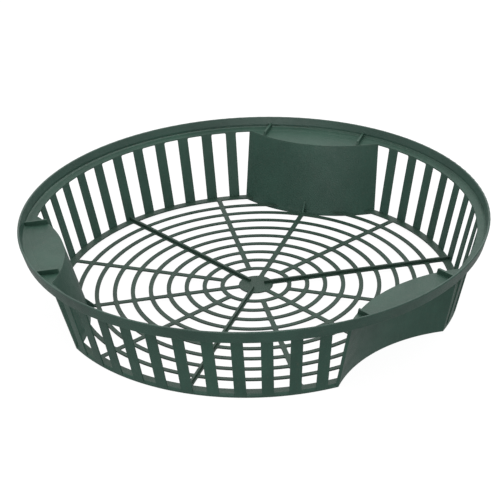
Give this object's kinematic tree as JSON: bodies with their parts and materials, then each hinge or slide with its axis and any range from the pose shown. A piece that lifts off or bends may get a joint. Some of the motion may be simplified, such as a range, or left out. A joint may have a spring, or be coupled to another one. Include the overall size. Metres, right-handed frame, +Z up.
{
  "type": "soil sieve basket",
  "caption": "Round shallow slotted plastic basket with a spoked ring floor, a stepped rim and curved finger recesses, for sifting soil or planting bulbs.",
  "frame": {"origin": "centre of the underside, where the basket rests", "axes": "+Z up, +Y through the middle of recess 1"},
  "size_m": [0.3004, 0.3004, 0.0557],
  "materials": {
    "green_polypropylene": "satin, dark green"
  },
  "bodies": {
    "root": {"floor_fin_1": "green_polypropylene", "floor_fin_2": "green_polypropylene", "floor_fin_3": "green_polypropylene", "floor_hub": "green_polypropylene", "floor_margin_1": "green_polypropylene", "floor_margin_2": "green_polypropylene", "floor_margin_3": "green_polypropylene", "floor_ring_1": "green_polypropylene", "floor_ring_2": "green_polypropylene", "floor_ring_3": "green_polypropylene", "floor_ring_4": "green_polypropylene", "floor_ring_5": "green_polypropylene", "floor_ring_6": "green_polypropylene", "floor_ring_7": "green_polypropylene", "floor_ring_8": "green_polypropylene", "floor_ring_9_arc_1": "green_polypropylene", "floor_ring_9_arc_2": "green_polypropylene", "floor_ring_9_arc_3": "green_polypropylene", "floor_spoke_01": "green_polypropylene", "floor_spoke_02": "green_polypropylene", "floor_spoke_03": "green_polypropylene", "floor_spoke_04": "green_polypropylene", "floor_spoke_05": "green_polypropylene", "floor_spoke_06": "green_polypropylene", "floor_spoke_07": "green_polypropylene", "floor_spoke_08": "green_polypropylene", "floor_spoke_09": "green_polypropylene", "floor_spoke_10": "green_polypropylene", "floor_spoke_11": "green_polypropylene", "floor_spoke_12": "green_polypropylene", "foot_hoop_1": "green_polypropylene", "foot_hoop_2": "green_polypropylene", "foot_hoop_3": "green_polypropylene", "ledge_rib_1_left": "green_polypropylene", "ledge_rib_1_right": "green_polypropylene", "ledge_rib_2_left": "green_polypropylene", "ledge_rib_2_right": "green_polypropylene", "ledge_rib_3_left": "green_polypropylene", "ledge_rib_3_right": "green_polypropylene", "recess_gusset_1": "green_polypropylene", "recess_gusset_2": "green_polypropylene", "recess_gusset_3": "green_polypropylene", "recess_ledge_1": "green_polypropylene", "recess_ledge_2": "green_polypropylene", "recess_ledge_3": "green_polypropylene", "recess_wall_1": "green_polypropylene", "recess_wall_2": "green_polypropylene", "recess_wall_3": "green_polypropylene", "rim_lip": "green_polypropylene", "rim_shelf": "green_polypropylene", "wall_staves_1": "green_polypropylene", "wall_staves_2": "green_polypropylene", "wall_staves_3": "green_polypropylene"}
  },
  "joints": []
}
